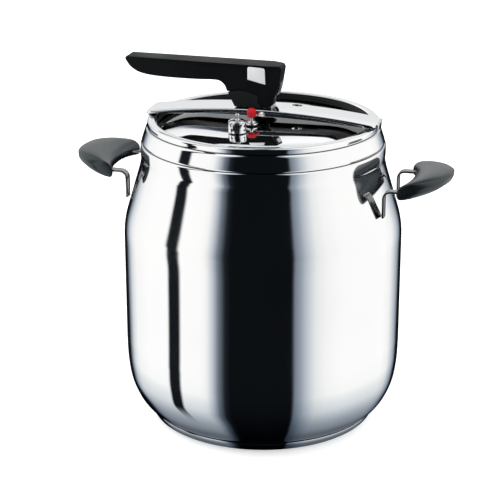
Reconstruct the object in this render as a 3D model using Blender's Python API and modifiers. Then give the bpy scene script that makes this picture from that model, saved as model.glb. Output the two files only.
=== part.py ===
"""Stovetop pressure cooker: a deep bulging pot, a lid that sits inside the rim, and a lever on a
bridge bar that bows the lid. Millimetres are turned to metres by mm. +Z is up, X runs through
both side grips and along the bar, and the lever points to -X."""

import math

import bmesh
import bpy
from mathutils import Matrix, Vector

mm = 0.001

# Pot
rimRadius = 113.6
mouthRadius = 105.0
potSteps = 36
# Lid
lidTop = 309.7
lidEdge = 107.0
# Bridge bar
barHalfLength = 115.5
barHalfWidth = 18.5
barTop = 323.4
barSag = 8.4
barSheet = 2.0
saddleRivetX = -14.5
# Lever
pivotX, pivotZ = 6.0, 332.0
leverAngle = math.radians(70.0)
studLift = 6.0
crossPinZ = 336.0
crossPinRadius = 2.0
pivotRadius = 2.5
leverHalfWidth = 13.0
hubX, hubZ, hubRadius = -20.0, 305.0, 35.0
# Valves
valveX, valveY = -11.2, -54.0
flagX, flagY = -5.0, -25.0
# Side grips
gripEnd = 44.0
gripTilt = 0.24
strapY = 36.0

for old in list(bpy.data.objects):
    bpy.data.objects.remove(old, do_unlink=True)
product = bpy.data.collections.new("pressure_cooker")
helpers = bpy.data.collections.new("helpers")
bpy.context.scene.collection.children.link(product)
bpy.context.scene.collection.children.link(helpers)
helpers.hide_render = True


def paint(obj, colour, roughness, metallic):
    material = bpy.data.materials.new(obj.name)
    material.use_nodes = True
    shader = material.node_tree.nodes["Principled BSDF"]
    shader.inputs["Base Color"].default_value = (*colour, 1.0)
    shader.inputs["Roughness"].default_value = roughness
    shader.inputs["Metallic"].default_value = metallic
    material.diffuse_color = (*colour, 1.0)
    obj.data.materials.append(material)
    return obj


steel = ((0.78, 0.79, 0.80), 0.12, 1.0)
dullSteel = ((0.62, 0.63, 0.64), 0.35, 1.0)
aluminium = ((0.80, 0.81, 0.82), 0.4, 1.0)
blackPlastic = ((0.02, 0.021, 0.023), 0.35, 0.0)
greyRubber = ((0.10, 0.10, 0.11), 0.7, 0.0)
redSilicone = ((0.62, 0.03, 0.04), 0.4, 0.0)


def put(name, mesh, look=None):
    """Links a mesh as a node when it has a look, and as a hidden cutter when it has none."""
    obj = bpy.data.objects.new(name, mesh)
    if look:
        product.objects.link(obj)
        return paint(obj, *look)
    helpers.objects.link(obj)
    obj.hide_render = True
    obj.display_type = "WIRE"
    return obj


def finish(name, bm, look=None):
    bmesh.ops.recalc_face_normals(bm, faces=bm.faces)
    mesh = bpy.data.meshes.new(name)
    bm.to_mesh(mesh)
    bm.free()
    return put(name, mesh, look)


def turned(name, profile, look=None, steps=24, at=(0.0, 0.0), closed=False):
    """A profile of (radius, height) turned about a vertical axis at the given place."""
    bm = bmesh.new()
    points = [bm.verts.new((r * mm, 0.0, z * mm)) for r, z in profile]
    for a, b in zip(points, points[1:]):
        bm.edges.new((a, b))
    if closed:
        bm.edges.new((points[-1], points[0]))
    mesh = bpy.data.meshes.new(name)
    bm.to_mesh(mesh)
    bm.free()
    obj = put(name, mesh, look)
    obj.location = (at[0] * mm, at[1] * mm, 0.0)
    screw = obj.modifiers.new("Turn", "SCREW")
    screw.axis = "Z"
    screw.steps = steps
    screw.render_steps = steps
    screw.use_merge_vertices = True
    screw.merge_threshold = 0.00001
    return obj


def prism(name, outline, low, high, look=None, axis="Y"):
    """An outline of (x, z) pushed along Y, or of (x, y) pushed along Z."""
    bm = bmesh.new()

    def place(a, b, depth):
        return (a * mm, depth * mm, b * mm) if axis == "Y" else (a * mm, b * mm, depth * mm)

    near = [bm.verts.new(place(a, b, low)) for a, b in outline]
    far = [bm.verts.new(place(a, b, high)) for a, b in outline]
    bm.faces.new(near)
    bm.faces.new(list(reversed(far)))
    count = len(outline)
    for i in range(count):
        j = (i + 1) % count
        bm.faces.new((near[i], far[i], far[j], near[j]))
    return finish(name, bm, look)


def loft(name, rings, look=None):
    """Closed rings of points joined in a row, with a flat cap at each end."""
    bm = bmesh.new()
    made = [[bm.verts.new([c * mm for c in p]) for p in ring] for ring in rings]
    for first, second in zip(made, made[1:]):
        for i in range(len(first)):
            j = (i + 1) % len(first)
            bm.faces.new((first[i], second[i], second[j], first[j]))
    bm.faces.new(made[0])
    bm.faces.new(list(reversed(made[-1])))
    bmesh.ops.recalc_face_normals(bm, faces=bm.faces)
    bmesh.ops.triangulate(bm, faces=bm.faces)
    return finish(name, bm, look)


def circle(cx, cz, radius, first=0.0, last=360.0, count=24):
    """Points on a circle; a full circle leaves out the repeated last point."""
    span = last - first
    steps = count if abs(span) >= 360 else count - 1
    angles = [math.radians(first + span * i / steps) for i in range(count)]
    return [(cx + radius * math.cos(a), cz + radius * math.sin(a)) for a in angles]


def rod(name, cx, cz, radius, low, high, look=None, axis="Y", count=20):
    return prism(name, circle(cx, cz, radius, count=count), low, high, look, axis)


def hexagon(name, cx, cy, across, low, high, bore):
    obj = prism(name, circle(cx, cy, across / 2 / math.cos(math.pi / 6), count=6), low, high, dullSteel, "Z")
    return cut(obj, rod(name + "_bore", cx, cy, bore, low - 1, high + 1, axis="Z", count=16))


def cut(obj, cutter, operation="DIFFERENCE"):
    boolean = obj.modifiers.new(cutter.name, "BOOLEAN")
    boolean.operation = operation
    boolean.solver = "EXACT"
    boolean.object = cutter
    return obj


def bevel(obj, width, segments=2, angle=40.0):
    rounding = obj.modifiers.new("Rounding", "BEVEL")
    rounding.width = width * mm
    rounding.segments = segments
    rounding.limit_method = "ANGLE"
    rounding.angle_limit = math.radians(angle)
    return obj


def coil(name, at, radius, wire, low, high, turns, look):
    """A compression spring with its axis upright."""
    curve = bpy.data.curves.new(name, "CURVE")
    curve.dimensions = "3D"
    curve.bevel_depth = wire * mm
    curve.bevel_resolution = 1
    curve.use_fill_caps = True
    line = curve.splines.new("POLY")
    count = int(turns * 8) + 1
    line.points.add(count - 1)
    for i in range(count):
        turn = i / (count - 1)
        a = 2 * math.pi * turns * turn
        z = low + wire + (high - low - 2 * wire) * turn
        x, y = at[0] + radius * math.cos(a), at[1] + radius * math.sin(a)
        line.points[i].co = (x * mm, y * mm, z * mm, 1.0)
    obj = bpy.data.objects.new(name, curve)
    product.objects.link(obj)
    weld = obj.modifiers.new("Weld", "WELD")
    weld.merge_threshold = 0.000005
    return paint(obj, *look)


def barHeight(x):
    return barTop - barSag * (x / rimRadius) ** 2


# Pot: the outer wall runs down from the rim, and the inner wall runs back up
outerWall = [
    (mouthRadius, 310.9), (111.6, 311.2), (113.8, 309.9), (113.3, 305.0),
    (115.4, 303.2), (119.7, 290.6), (118.9, 289.0), (120.8, 287.4),
    (121.0, 280.0), (120.3, 274.0), (122.2, 261.0), (127.5, 245.0), (133.5, 225.0),
    (137.4, 204.0), (138.5, 180.0), (138.4, 140.0), (137.8, 90.0), (136.6, 62.0),
    (133.6, 44.0), (127.6, 29.4), (121.5, 20.4), (116.4, 15.6), (110.6, 11.6), (107.0, 9.6),
]
innerWall = [
    (106.6, 10.8), (109.8, 12.6), (115.6, 16.6), (120.5, 21.2), (126.6, 30.0), (132.5, 44.4),
    (135.4, 62.2), (136.6, 90.0), (137.2, 140.0), (137.3, 180.0), (136.2, 203.8),
    (132.3, 224.6), (126.3, 244.6), (121.0, 260.8), (119.1, 274.0), (119.8, 280.0),
    (119.6, 287.0), (117.7, 289.0), (118.5, 290.4), (114.2, 302.6),
    (112.1, 304.8), (113.0, 308.2), (111.4, 309.5), (mouthRadius + 0.1, 309.4),
]
turned("pot_shell", [(0.0, 10.4)] + innerWall + outerWall + [(0.0, 9.2)], steel, potSteps)

turned(
    "base_core",
    [(0.0, 8.9), (107.4, 8.9), (110.2, 8.9), (109.2, 7.2), (104.6, 4.2), (97.0, 1.5), (0.0, 1.5)],
    aluminium, potSteps,
)
turned(
    "base_cap",
    [(113.1, 12.3), (113.2, 9.4), (111.2, 5.8), (106.0, 2.2), (99.0, 0.0), (0.0, 0.0), (0.0, 1.2),
     (97.8, 1.2), (105.4, 3.6), (110.2, 7.0), (111.9, 9.8), (111.9, 12.3)],
    steel, potSteps, closed=True,
)


# Side grips: sections across the half moon, one for each place along it
def gripSection(y):
    along = abs(y) / gripEnd
    inner = 151.0 - 9.0 * along ** 2.4
    outer = 141.0 + 49.0 * (1 - (0.95 * along) ** 2.5) ** 0.476
    thin = 1.0 - 0.12 * along ** 5
    shape = [
        (0.00, -3.0), (0.00, 3.0), (0.10, 6.6), (0.34, 8.8), (0.64, 7.8), (0.88, 4.6),
        (1.00, 0.2), (0.99, -4.0), (0.80, -7.4), (0.40, -8.6), (0.08, -7.6),
    ]
    ring = []
    for u, h in shape:
        x = inner + (outer - inner) * u
        ring.append((x, y, 258.3 + h * thin + gripTilt * (x - 148.0)))
    return ring


places = [-1.0, -0.98, -0.91, -0.79, -0.64, -0.45, -0.22, 0.0, 0.22, 0.45, 0.64, 0.79, 0.91, 0.98, 1.0]
for side, sign in (("right", 1), ("left", -1)):
    rings = []
    for place in places:
        ring = gripSection(place * gripEnd)
        if abs(place) == 1.0:
            centre = [sum(p[k] for p in ring) / len(ring) for k in range(3)]
            shrink = (0.8, 1.0, 0.8)
            ring = [[centre[k] + (p[k] - centre[k]) * shrink[k] for k in range(3)] for p in ring]
        rings.append([(sign * p[0], p[1], p[2]) for p in ring])
    grip = loft(side + "_grip", rings, blackPlastic)
    for end, y in (("front", -strapY), ("rear", strapY)):
        tag = side + "_" + end
        path = [(161.0, 257.0), (137.5, 257.0), (133.0, 256.0), (130.4, 253.4), (129.4, 250.0),
                (129.4, 230.5)]
        half = 1.1
        upper, lower = [], []
        for i, (x, z) in enumerate(path):
            before = Vector(path[max(0, i - 1)])
            after = Vector(path[min(len(path) - 1, i + 1)])
            ahead = (after - before).normalized() * half
            upper.append((x - ahead.y, z + ahead.x))
            lower.append((x + ahead.y, z - ahead.x))
        outline = [(sign * x, z) for x, z in upper + lower[::-1]]
        strap = prism(side + "_bracket_" + end, outline, y - 4.5, y + 4.5, dullSteel)
        cut(strap, rod(tag + "_strap_hole", sign * 153.0, y, 2.2, 250, 262, axis="Z", count=12))
        slot = [(sign * x, z) for x, z in ((120, 255.5), (161.5, 255.5), (161.5, 258.5), (120, 258.5))]
        cut(grip, prism(tag + "_slot", slot, y - 5.2, y + 5.2))
        cut(grip, rod(tag + "_hole", sign * 153.0, y, 2.2, 240, 264.5, axis="Z", count=12))
        cut(grip, rod(tag + "_sink", sign * 153.0, y, 4.0, 239, 253.4, axis="Z", count=14))
        head = [(0.0, 264.0), (1.8, 263.4), (1.8, 253.0), (3.6, 253.0), (3.4, 251.6), (0.0, 251.2)]
        turned(side + "_grip_screw_" + end, head, dullSteel, 12, (sign * 153.0, y))

# Bridge bar: a channel, deepest in the middle, with a lip turned down outside the rim
rings = []
for i in range(19):
    x = -barHalfLength + 2 * barHalfLength * i / 18
    reach = abs(x) / barHalfLength
    half = barHalfWidth - 6.0 * max(0.0, (reach - 0.9) / 0.1) ** 2
    top = barHeight(x)
    deep = 6.4 - 3.6 * reach ** 2
    inside = half - 1.8
    rings.append([
        (x, -half, top - 0.7), (x, -half + 0.8, top), (x, half - 0.8, top), (x, half, top - 0.7),
        (x, half, top - deep), (x, inside, top - deep), (x, inside, top - barSheet),
        (x, -inside, top - barSheet), (x, -inside, top - deep), (x, -half, top - deep),
    ])
bar = loft("bridge_bar", rings, steel)
endTop = barHeight(barHalfLength)
for side, sign in (("right", 1), ("left", -1)):
    lip = [(sign * x, z) for x, z in (
        (barHalfLength - 1.4, endTop - 0.6), (barHalfLength + 0.6, endTop - 0.8),
        (barHalfLength + 1.2, endTop - 2.4), (barHalfLength + 1.0, endTop - 8.0),
        (barHalfLength - 0.8, endTop - 8.0), (barHalfLength - 0.6, endTop - 1.8),
    )]
    cut(bar, prism(side + "_lip", lip, -9.0, 9.0), "UNION")
    pad = [(sign * x, z) for x, z in ((107.0, 311.5), (113.0, 311.5), (113.0, 312.6), (107.0, 313.0))]
    prism(side + "_end_pad", pad, -8.0, 8.0, greyRubber)
cut(bar, rod("bar_hole", 0, 0, 6.8, 300, 340, axis="Z", count=20))
oval = [(31.3 + 5.2 * math.cos(k * math.pi / 8), 12.2 + 3.6 * math.sin(k * math.pi / 8)) for k in range(16)]
cut(bar, prism("bar_slot", oval, 300, 340, axis="Z"))
for y in (-5.0, 5.0):
    cut(bar, rod("bar_rivet_hole", saddleRivetX, y, 1.7, 300, 340, axis="Z", count=12))
turned("stud_bush", [(6.5, 325.0), (6.5, 321.0), (8.4, 320.9), (8.4, 319.6), (3.2, 319.6), (3.2, 325.0)],
       greyRubber, 14, closed=True)

# Saddle: a fork on the bar that carries the lever pin
seat = barTop + 0.3
plate = [(-20.0, seat), (10.4, seat), (10.4, seat + 1.5), (-20.0, seat + 1.5)]
saddle = prism("pivot_saddle", plate, -8.8, 8.8, dullSteel)
for name, low in (("saddle_ear_rear", 7.2), ("saddle_ear_front", -8.8)):
    ear = [(-4.0, seat + 0.3), (-4.0, 330.0)] + circle(pivotX, pivotZ, 5.6, 160, 0, 8) + [(10.2, seat + 0.3)]
    cut(saddle, prism(name, ear, low, low + 1.6), "UNION")
cut(saddle, rod("saddle_pin_hole", pivotX, pivotZ, pivotRadius + 0.08, -20, 20))
cut(saddle, rod("saddle_hole", 0, 0, 6.8, 300, 340, axis="Z"))
low = barHeight(saddleRivetX) - barSheet
rivet = [(0.0, seat + 2.6), (1.8, seat + 2.5), (2.8, seat + 1.8), (1.5, seat + 1.8), (1.5, low - 0.3),
         (2.8, low - 0.3), (2.0, low - 1.1), (0.0, low - 1.2)]
for end, y in (("front", -5.0), ("rear", 5.0)):
    cut(saddle, rod("saddle_rivet_hole_" + end, saddleRivetX, y, 1.7, 300, 340, axis="Z", count=12))
    turned("saddle_rivet_" + end, rivet, dullSteel, 12, (saddleRivetX, y))
rod("pivot_pin", pivotX, pivotZ, pivotRadius, -9.0, 9.0, dullSteel)

# Hub base: a hollow foot whose top follows the underside of the lever
dome = [(x, hubZ + math.sqrt(hubRadius ** 2 - (x - hubX) ** 2)) for x in (-32.6, -27, -20, -12, -5, 1)]
base = prism("hub_base", [(-25.4, seat + 0.2), (-31.2, 335.0)] + dome + [(1.5, seat + 0.2)], -12.6, 12.6,
             blackPlastic)
bevel(base, 1.6)
inside = [(-22.6, seat - 5), (-28.4, 334.0), (-28.4, 345.0), (20.0, 345.0), (20.0, seat - 5)]
cut(base, prism("hub_hollow", inside, -9.3, 9.3))
cut(base, rod("eye_space", pivotX, pivotZ, 8.4, -20, 20, count=28))

# Lever: the blade, the hub that follows the dome, and a heel that clears the bar when it swings
gapRadius = hubRadius + 0.8
under = [(x, hubZ + math.sqrt(gapRadius ** 2 - (x - hubX) ** 2)) for x in (-33.4, -27, -20, -12, -5, -1.2)]
eye = circle(pivotX, pivotZ, 7.6, 160, 350, 8)
blade = [
    (-138.0, 365.2), (-137.4, 362.6), (-133.0, 357.2), (-123.0, 351.6), (-108.0, 348.9), (-84.0, 348.3),
    (-61.0, 348.6), (-45.0, 349.4), (-39.0, 347.8), (-35.4, 344.2), (-33.6, 340.6),
]
heel = [
    (14.6, 335.4), (16.4, 341.6), (18.2, 348.6), (19.6, 355.5), (20.6, 361.2), (19.8, 364.8), (16.8, 366.4),
    (-10.0, 366.9), (-60.0, 367.0), (-135.4, 366.8),
]
lever = prism("lever_handle", blade + under + eye + heel, -leverHalfWidth, leverHalfWidth, blackPlastic)
for vertex in lever.data.vertices:
    out = max(0.0, min(1.0, (-30 - vertex.co.x / mm) / 108))
    back = max(0.0, min(1.0, (vertex.co.x / mm - 8) / 13))
    vertex.co.y *= 1 - 0.22 * out - 0.30 * back
bevel(lever, 2.4, 2, 50)
inlay = [(-12.4, 351.6), (5.2, 347.8), (4.4, 362.4), (2.8, 364.0), (-11.0, 364.0), (-12.6, 362.4)]
grown = [(-12.7, 351.3), (5.6, 347.4), (4.8, 362.6), (3.0, 364.3), (-11.2, 364.3), (-12.9, 362.6)]
for name, low in (("lever_plate_front", -13.2), ("lever_plate_rear", 12.4)):
    cut(lever, prism(name + "_pocket", grown, low - (3 if low < 0 else 0.3), low + (1.1 if low < 0 else 4)))
    prism(name, inlay, low, low + 0.8, steel)
hollow = rod("lever_hollow", pivotX, pivotZ, 18.6, -9.2, 9.2, count=28)
heelFill = [(pivotX + 8.2, 320.0), (pivotX + 8.2, 338.0), (pivotX + 4.0, 352.0), (40.0, 352.0), (40.0, 320.0)]
cut(hollow, prism("hollow_limit", heelFill, -20, 20))
cut(lever, hollow)
leftHollow = [(-27.0, 330.0), (-27.0, 343.5), (-11.0, 344.5), (-6.0, 330.0)]
cut(lever, prism("lever_left_hollow", leftHollow, -9.1, 9.1))
camTop = [(-15.4, 337.0), (-15.4, 357.4), (0.8, 357.4), (4.6, 346.0), (4.6, 337.0)]
for name, low in (("cam_slot_rear", 3.0), ("cam_slot_front", -5.4)):
    cut(lever, prism(name, camTop, low, low + 2.4))
cut(lever, rod("cam_rivet_hole", -8.0, 353.6, 1.9, -20, 20, count=12))
rod("cam_rivet", -8.0, 353.6, 1.8, -11.6, 11.6, dullSteel, count=12)


def inLever(angle):
    """Where the cross pin lies in the lever's own frame when the lever has turned by this angle."""
    x, z = -pivotX, crossPinZ + studLift * angle / leverAngle - pivotZ
    c, s = math.cos(angle), math.sin(angle)
    return (pivotX + x * c - z * s, pivotZ + x * s + z * c)


def ribbon(radius, count=9):
    """The outline of a slot that follows the cross pin."""
    line = [Vector(inLever(leverAngle * i / (count - 1))) for i in range(count)]
    left, right = [], []
    for i, point in enumerate(line):
        ahead = (line[min(count - 1, i + 1)] - line[max(0, i - 1)]).normalized()
        across = Vector((-ahead.y, ahead.x)) * radius
        left.append(point + across)
        right.append(point - across)
    startWay = (line[0] - line[1]).normalized()
    endWay = (line[-1] - line[-2]).normalized()
    startAngle = math.degrees(math.atan2(startWay.y, startWay.x))
    endAngle = math.degrees(math.atan2(endWay.y, endWay.x))
    nose = circle(line[-1].x, line[-1].y, radius, endAngle + 75, endAngle - 75, 6)
    tail = circle(line[0].x, line[0].y, radius, startAngle + 75, startAngle - 75, 6)
    return [tuple(p) for p in left] + nose + [tuple(p) for p in right[::-1]] + tail


camOutline = [
    (-12.6, 357.0), (0.0, 357.0), (4.0, 345.0), (8.6, 338.0), (11.6, 334.0), (11.8, 330.6), (10.4, 327.8),
    (7.4, 326.2), (3.6, 326.0), (-1.6, 325.6), (-8.6, 326.2), (-10.0, 332.0), (-10.0, 340.0), (-12.6, 346.0),
]
for name, low in (("lever_cam_rear", 3.2), ("lever_cam_front", -5.2)):
    cam = prism(name, camOutline, low, low + 2.0, dullSteel)
    cut(cam, prism(name + "_slot", ribbon(crossPinRadius + 0.2), low - 1, low + 3))
    cut(cam, rod(name + "_hole", pivotX, pivotZ, pivotRadius + 0.08, low - 1, low + 3))
    cut(cam, rod(name + "_rivet", -8.0, 353.6, 1.9, low - 1, low + 3, count=12))
strip = [(15.2, 336.4), (17.0, 342.2), (18.6, 348.4), (19.2, 348.2), (17.6, 342.0), (15.8, 336.2)]
prism("heel_strip", strip, -6.0, 6.0, dullSteel)

# Lid: flat in the middle, falling to an edge that the gasket wraps
lidOuter = [(3.3, lidTop), (40.0, lidTop - 0.1), (66.0, lidTop - 0.6), (82.0, 307.6), (94.0, 305.0),
            (101.0, 303.1), (lidEdge, 302.8)]
lidInner = [(lidEdge, 301.2), (100.6, 301.5), (93.6, 303.4), (81.8, 306.0), (66.0, 307.5), (40.0, 308.0),
            (3.3, 308.1)]
lid = turned("lid_disc", lidOuter + lidInner, steel, potSteps, closed=True)
cut(lid, rod("lid_valve_hole", valveX, valveY, 4.0, 290, 330, axis="Z", count=16))
cut(lid, rod("lid_flag_hole", flagX, flagY, 3.6, 290, 330, axis="Z", count=16))
turned(
    "lid_gasket",
    [(103.6, 309.0), (109.6, 309.0), (110.4, 305.0), (110.0, 299.8), (104.0, 299.8), (104.0, 300.9),
     (107.3, 300.9), (107.3, 303.1), (103.6, 303.6)],
    greyRubber, potSteps, closed=True,
)
shaft = [(0.0, 327.0), (2.9, 327.0), (2.9, 296.0), (2.3, 295.0), (0.0, 295.0)]
stud = turned("centre_stud", shaft, dullSteel, 14)
tongue = [(-3.4, 326.2), (2.6, 326.2), (2.6, 338.6), (1.4, 340.0), (-2.2, 340.0), (-3.4, 338.6)]
cut(stud, prism("stud_tongue", tongue, -2.5, 2.5), "UNION")
cut(stud, rod("cross_pin_hole", 0, crossPinZ, crossPinRadius + 0.08, -9, 9, count=16))
rod("cross_pin", 0, crossPinZ, crossPinRadius, -6.6, 6.6, dullSteel, count=16)
low = lidTop + 0.3
turned("stud_plate", [(13.0, low + 0.6), (13.6, low), (3.2, low), (3.2, 312.2), (7.0, 312.2)], steel, 16,
       closed=True)
hexagon("stud_nut", 0.0, 0.0, 16.0, 300.0, 307.6, 3.2)
coil("stud_spring", (0, 0), 6.0, 0.7, 312.5, 319.3, 3, dullSteel)

# Operating valve
here = (valveX, valveY)
turned("valve_seal", [(6.6, 311.0), (6.6, 310.0), (4.0, 310.0), (4.0, 311.0)], greyRubber, 14, here,
       closed=True)
body = turned(
    "valve_body",
    [(8.75, 319.8), (8.75, 310.4), (8.4, 310.1), (7.1, 310.1), (7.1, 311.3), (3.6, 311.3), (3.6, 298.5),
     (1.6, 298.5), (1.6, 313.0), (7.3, 313.0), (7.3, 319.8)],
    steel, 18, here, closed=True,
)
for i in range(8):
    a = math.radians(45.0 * i + 22.5)
    drill = bpy.data.meshes.new("vent")
    bm = bmesh.new()
    bmesh.ops.create_cone(bm, cap_ends=True, segments=8, radius1=1.2 * mm, radius2=1.2 * mm, depth=4 * mm)
    bm.transform(Matrix.Translation((8 * mm, 0, 0)) @ Matrix.Rotation(math.pi / 2, 4, "Y"))
    bm.transform(Matrix.Rotation(a, 4, "Z"))
    bm.transform(Matrix.Translation((valveX * mm, valveY * mm, 315.4 * mm)))
    bm.to_mesh(drill)
    bm.free()
    cut(body, put("vent_hole", drill))
turned(
    "valve_cap",
    [(2.8, 323.4), (5.4, 322.9), (8.75, 320.9), (8.75, 320.1), (6.9, 320.1), (6.9, 318.2), (1.5, 318.2),
     (1.5, 323.4)],
    steel, 18, here, closed=True,
)
turned("valve_plunger", [(0.0, 315.4), (5.8, 315.4), (6.2, 315.0), (6.2, 313.8), (5.6, 313.4), (1.6, 313.3),
                         (1.2, 311.8), (0.0, 311.2)], dullSteel, 14, here)
turned("valve_lift_pin", [(0.0, 328.6), (1.4, 328.4), (2.0, 327.8), (2.0, 326.2), (1.2, 325.6), (1.2, 315.7),
                          (0.0, 315.7)], dullSteel, 12, here)
coil("valve_spring", here, 3.4, 0.3, 315.7, 317.9, 2, dullSteel)
hexagon("valve_nut", valveX, valveY, 11.0, 301.6, 307.0, 3.8)

# Pressure indicator
here = (flagX, flagY)
turned("indicator_seal", [(6.0, 310.8), (6.0, 310.0), (3.6, 310.0), (3.6, 310.8)], greyRubber, 14, here,
       closed=True)
turned("indicator_collar",
       [(3.8, 314.4), (4.0, 312.8), (6.6, 312.6), (6.6, 311.1), (3.2, 311.1), (3.2, 300.0), (1.7, 300.0),
        (1.7, 314.4)],
       steel, 14, here, closed=True)
turned("indicator_stem", [(0.0, 321.4), (1.5, 321.4), (1.5, 296.0), (3.0, 295.8), (3.0, 293.6), (0.0, 293.2)],
       dullSteel, 12, here)
turned("indicator_cap",
       [(0.0, 326.6), (2.8, 326.4), (4.2, 325.0), (4.5, 322.4), (4.2, 318.4), (3.6, 317.6), (1.7, 317.6),
        (1.7, 321.7), (0.0, 321.7)], redSilicone, 14, here)
hexagon("indicator_nut", flagX, flagY, 10.0, 302.6, 307.0, 3.4)
coil("indicator_spring", here, 2.5, 0.3, 296.3, 299.7, 2, dullSteel)
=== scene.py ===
import math

import bmesh
import bpy
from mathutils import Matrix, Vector


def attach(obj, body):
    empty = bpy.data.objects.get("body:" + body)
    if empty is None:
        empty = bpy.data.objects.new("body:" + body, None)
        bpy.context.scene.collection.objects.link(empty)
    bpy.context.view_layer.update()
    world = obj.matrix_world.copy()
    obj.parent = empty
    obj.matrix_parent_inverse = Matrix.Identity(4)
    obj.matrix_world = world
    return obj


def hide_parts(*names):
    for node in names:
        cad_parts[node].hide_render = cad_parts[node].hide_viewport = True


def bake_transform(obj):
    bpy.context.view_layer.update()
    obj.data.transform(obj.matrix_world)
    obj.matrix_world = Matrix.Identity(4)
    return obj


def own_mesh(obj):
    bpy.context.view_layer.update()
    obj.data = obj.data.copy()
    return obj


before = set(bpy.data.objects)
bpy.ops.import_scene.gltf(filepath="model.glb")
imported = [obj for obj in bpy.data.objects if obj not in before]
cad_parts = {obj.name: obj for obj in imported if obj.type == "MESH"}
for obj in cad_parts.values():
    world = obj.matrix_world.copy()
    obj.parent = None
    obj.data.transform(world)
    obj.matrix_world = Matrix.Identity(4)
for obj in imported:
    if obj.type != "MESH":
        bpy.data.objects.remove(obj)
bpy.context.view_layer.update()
mm = 0.001
bpy.context.scene.view_settings.view_transform = "Standard"
bpy.context.scene.view_settings.look = "None"

# ---- materials ----


def newMaterial(name):
    material = bpy.data.materials.new(name)
    material.use_nodes = True
    nodes, links = material.node_tree.nodes, material.node_tree.links
    shader = nodes["Principled BSDF"]
    coords = nodes.new("ShaderNodeTexCoord")
    return material, nodes, links, shader, coords


def noise(nodes, links, vector, scale, detail=4.0, rough=0.5, stretch=(1, 1, 1)):
    mapping = nodes.new("ShaderNodeMapping")
    mapping.inputs["Scale"].default_value = stretch
    links.new(vector, mapping.inputs["Vector"])
    texture = nodes.new("ShaderNodeTexNoise")
    texture.inputs["Scale"].default_value = scale
    texture.inputs["Detail"].default_value = detail
    texture.inputs["Roughness"].default_value = rough
    links.new(mapping.outputs["Vector"], texture.inputs["Vector"])
    return texture.outputs["Fac"]


def spread(nodes, links, value, low, high, fromLow=0.3, fromHigh=0.7):
    ranged = nodes.new("ShaderNodeMapRange")
    ranged.inputs["From Min"].default_value = fromLow
    ranged.inputs["From Max"].default_value = fromHigh
    ranged.inputs["To Min"].default_value = low
    ranged.inputs["To Max"].default_value = high
    links.new(value, ranged.inputs["Value"])
    return ranged.outputs["Result"]


def blendColours(nodes, links, factor, first, second):
    mix = nodes.new("ShaderNodeMix")
    mix.data_type = "RGBA"
    mix.inputs["A"].default_value = (*first, 1)
    mix.inputs["B"].default_value = (*second, 1)
    links.new(factor, mix.inputs["Factor"])
    return mix.outputs["Result"]


def addBump(nodes, links, shader, height, strength, distance):
    bump = nodes.new("ShaderNodeBump")
    bump.inputs["Strength"].default_value = strength
    bump.inputs["Distance"].default_value = distance
    links.new(height, bump.inputs["Height"])
    links.new(bump.outputs["Normal"], shader.inputs["Normal"])


def roundCoords(nodes, links, coords):
    # angle about Z, radius and height, so that polishing marks run round the piece
    parts = nodes.new("ShaderNodeSeparateXYZ")
    links.new(coords.outputs["Object"], parts.inputs["Vector"])
    angle = nodes.new("ShaderNodeMath")
    angle.operation = "ARCTAN2"
    links.new(parts.outputs["Y"], angle.inputs[0])
    links.new(parts.outputs["X"], angle.inputs[1])
    flat = nodes.new("ShaderNodeVectorMath")
    flat.operation = "MULTIPLY"
    flat.inputs[1].default_value = (1, 1, 0)
    links.new(coords.outputs["Object"], flat.inputs[0])
    radius = nodes.new("ShaderNodeVectorMath")
    radius.operation = "LENGTH"
    links.new(flat.outputs["Vector"], radius.inputs[0])
    joined = nodes.new("ShaderNodeCombineXYZ")
    links.new(angle.outputs["Value"], joined.inputs["X"])
    links.new(radius.outputs["Value"], joined.inputs["Y"])
    links.new(parts.outputs["Z"], joined.inputs["Z"])
    return joined.outputs["Vector"]


steelLook = {"light": (0.93, 0.93, 0.94), "dark": (0.84, 0.85, 0.87), "smooth": 0.03, "worn": 0.075}


def polishedSteel(name, turnedMarks=True, smooth=None, worn=None):
    material, nodes, links, shader, coords = newMaterial(name)
    vector = roundCoords(nodes, links, coords) if turnedMarks else coords.outputs["Object"]
    stretch = (0.6, 1, 1) if turnedMarks else (0.05, 1, 1)
    marks = noise(nodes, links, vector, 900, 5, 0.6, stretch)
    cloud = noise(nodes, links, coords.outputs["Object"], 9, 3)
    colour = blendColours(nodes, links, cloud, steelLook["dark"], steelLook["light"])
    links.new(colour, shader.inputs["Base Color"])
    shader.inputs["Metallic"].default_value = 1.0
    rough = nodes.new("ShaderNodeMath")
    rough.operation = "MULTIPLY"
    links.new(spread(nodes, links, marks, 0.75, 1.3), rough.inputs[0])
    low, high = smooth or steelLook["smooth"], worn or steelLook["worn"]
    links.new(spread(nodes, links, cloud, low, high), rough.inputs[1])
    links.new(rough.outputs["Value"], shader.inputs["Roughness"])
    addBump(nodes, links, shader, marks, 0.012, 0.0002)
    return material


def plainSteel(name, tone=0.62, low=0.2, high=0.36):
    material, nodes, links, shader, coords = newMaterial(name)
    marks = noise(nodes, links, coords.outputs["Object"], 1400, 4, 0.6, (0.12, 1, 1))
    cloud = noise(nodes, links, coords.outputs["Object"], 60, 4)
    colour = blendColours(nodes, links, cloud, (tone * 0.82,) * 3, (tone, tone, tone * 1.02))
    links.new(colour, shader.inputs["Base Color"])
    shader.inputs["Metallic"].default_value = 1.0
    links.new(spread(nodes, links, marks, low, high), shader.inputs["Roughness"])
    addBump(nodes, links, shader, marks, 0.08, 0.0002)
    return material


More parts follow.
